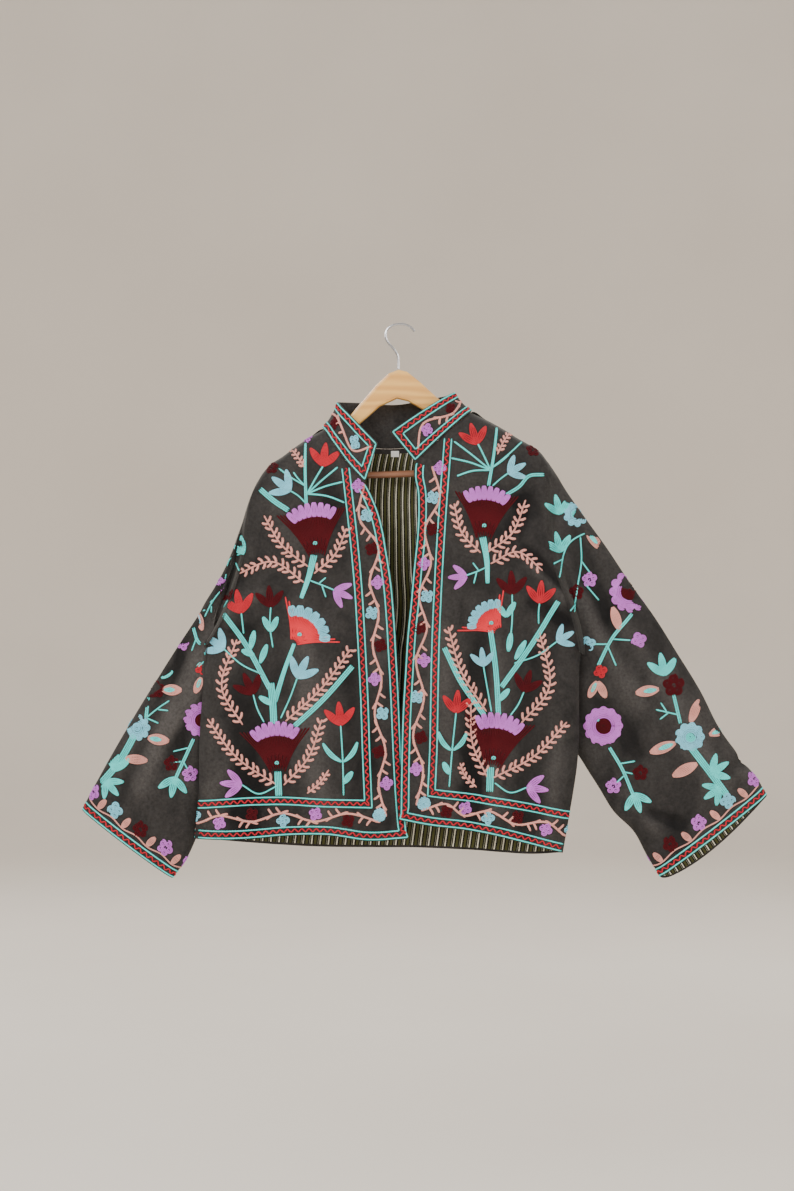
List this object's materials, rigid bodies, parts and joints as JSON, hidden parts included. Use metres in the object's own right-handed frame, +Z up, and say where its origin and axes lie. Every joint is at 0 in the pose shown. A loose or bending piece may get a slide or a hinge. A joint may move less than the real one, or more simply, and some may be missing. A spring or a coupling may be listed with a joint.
{
  "type": "embroidered jacket on a hanger",
  "caption": "Open-fronted velvet jacket with a stand collar, wide sleeves, striped lining and all-over chain-stitch flowers, hung on a wooden hanger with a steel hook.",
  "frame": {"origin": "inner top of the hanger's hook, where it rests on a rod", "axes": "+Z up, the jacket's front faces -Y, +X towards the viewer's right, which is the wearer's left"},
  "size_m": [1.022, 0.0707, 0.8278],
  "materials": {
    "velvet": "dark brown cotton velvet",
    "lining": "striped cotton, matt",
    "label": "blank woven tab",
    "pine": "pale wood, satin varnish",
    "bar_wood": "reddish brown wood, satin",
    "steel": "bright bent wire"
  },
  "bodies": {
    "root": {"back": "velvet", "back_lining": "lining", "collar": "velvet", "front_left": "velvet", "front_left_lining": "lining", "front_right": "velvet", "front_right_lining": "lining", "hanger_wood": "pine", "hook": "steel", "label": "label", "sleeve_left": "velvet", "sleeve_left_lining": "lining", "sleeve_right": "velvet", "sleeve_right_lining": "lining", "trouser_bar": "bar_wood"}
  },
  "joints": []
}
